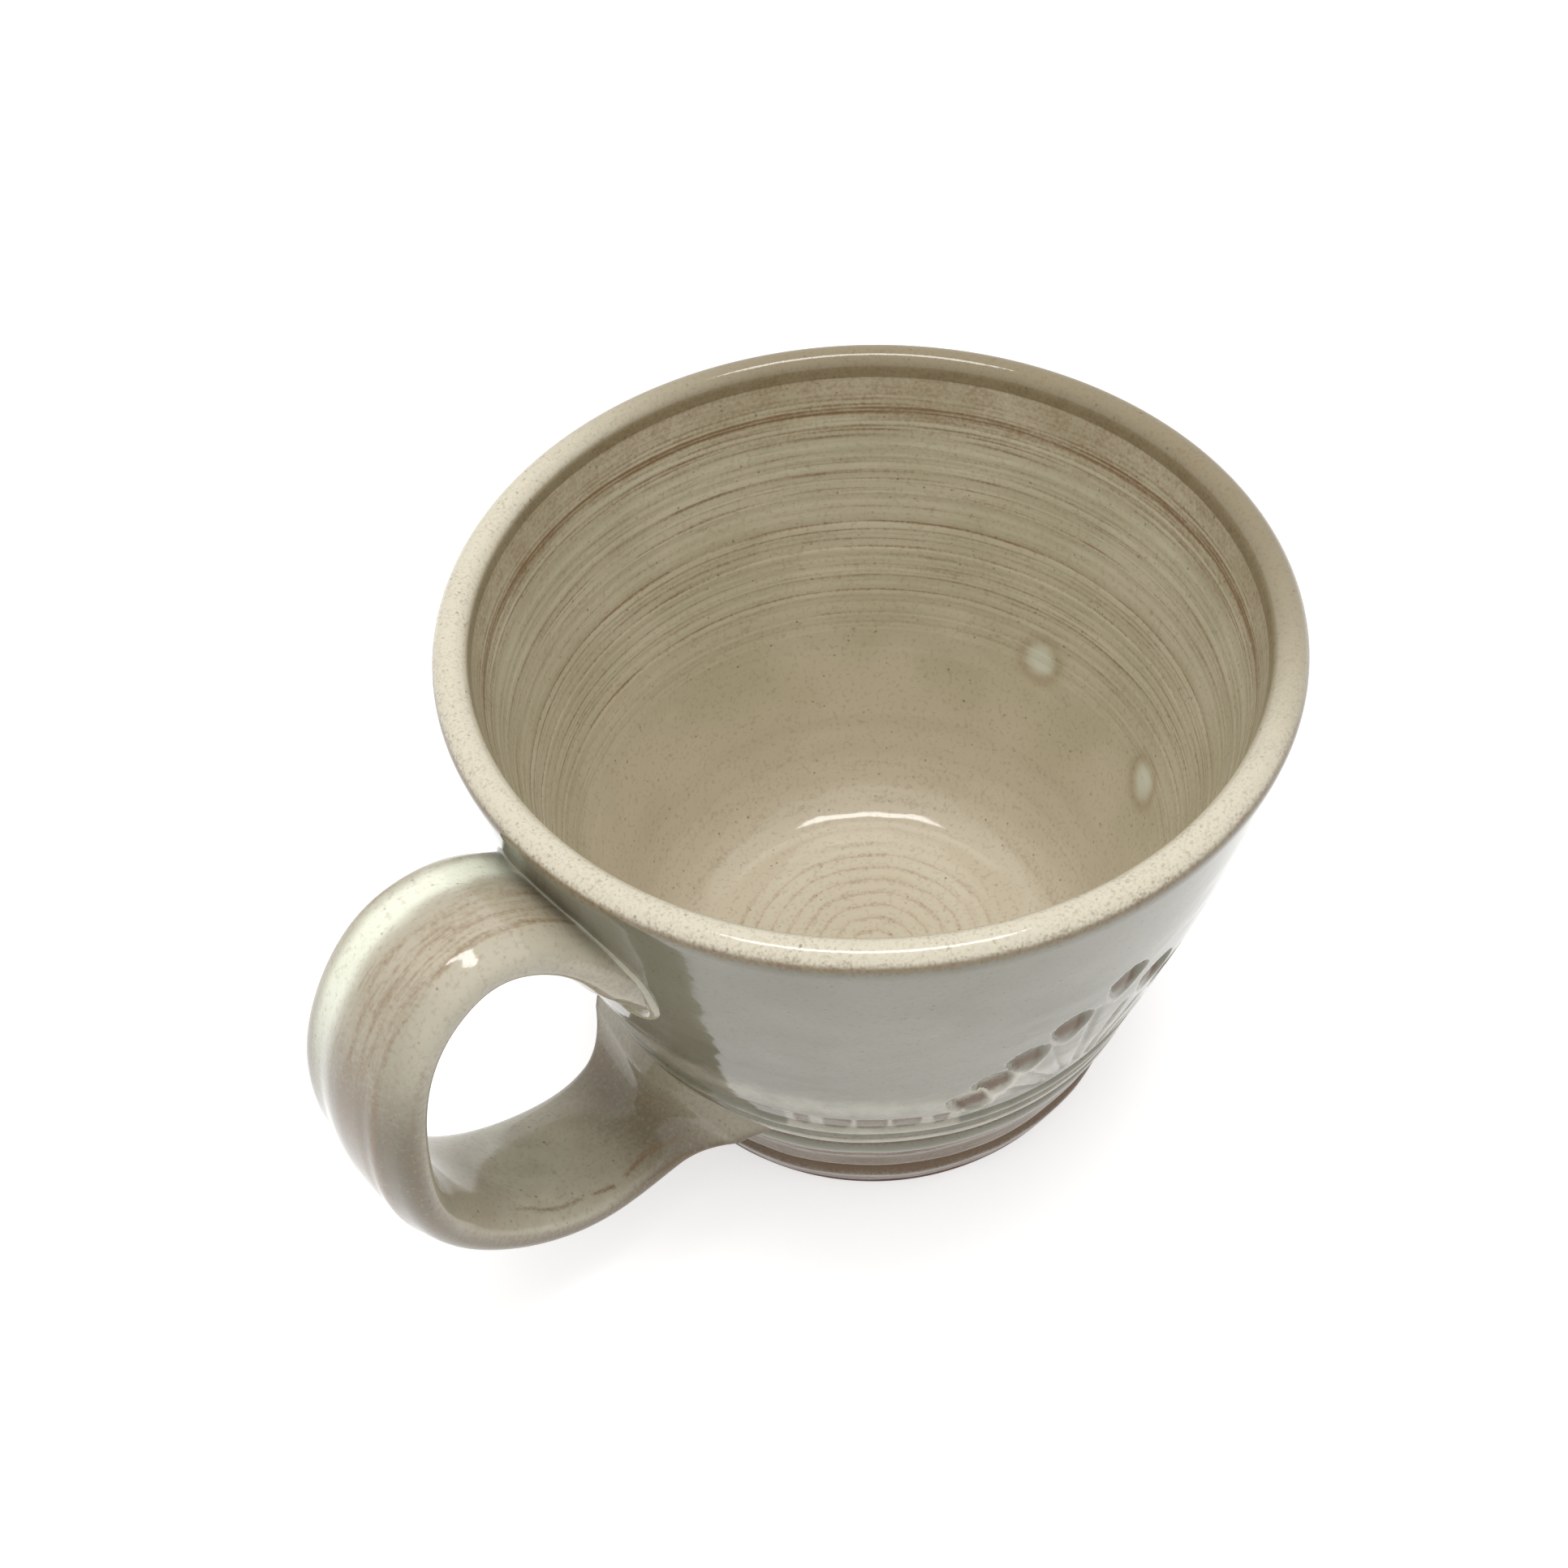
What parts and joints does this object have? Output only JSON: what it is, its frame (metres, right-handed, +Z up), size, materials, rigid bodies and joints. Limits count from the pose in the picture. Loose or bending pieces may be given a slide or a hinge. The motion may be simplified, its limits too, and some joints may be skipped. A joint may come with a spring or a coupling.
{
  "type": "stoneware mug",
  "caption": "Wheel-thrown stoneware mug with a wide pulled strap handle, a turned foot, pressed fan ornament and a glossy grey-green glaze over beige clay.",
  "frame": {"origin": "centre of the foot ring, on the plane that the mug stands on", "axes": "+Z up along the axis of the mug, +X from that axis through the middle of the handle"},
  "size_m": [0.1411, 0.11, 0.082],
  "materials": {
    "stoneware_clay": "bare fired stoneware, matt, reddish brown at the foot",
    "joint_clay": "fired slip and clay, matt",
    "inside_glaze": "glossy olive-beige glaze with brown specks",
    "outside_glaze": "glossy grey-green glaze that breaks beige and brown where thin",
    "handle_glaze": "glossy beige glaze, pale green where pooled, brown at the edges"
  },
  "bodies": {
    "root": {"thrown_body": "stoneware_clay", "pulled_handle": "stoneware_clay", "upper_joint": "joint_clay", "lower_joint": "joint_clay", "inner_glaze": "inside_glaze", "outer_glaze": "outside_glaze", "handle_glaze": "handle_glaze"}
  },
  "joints": []
}
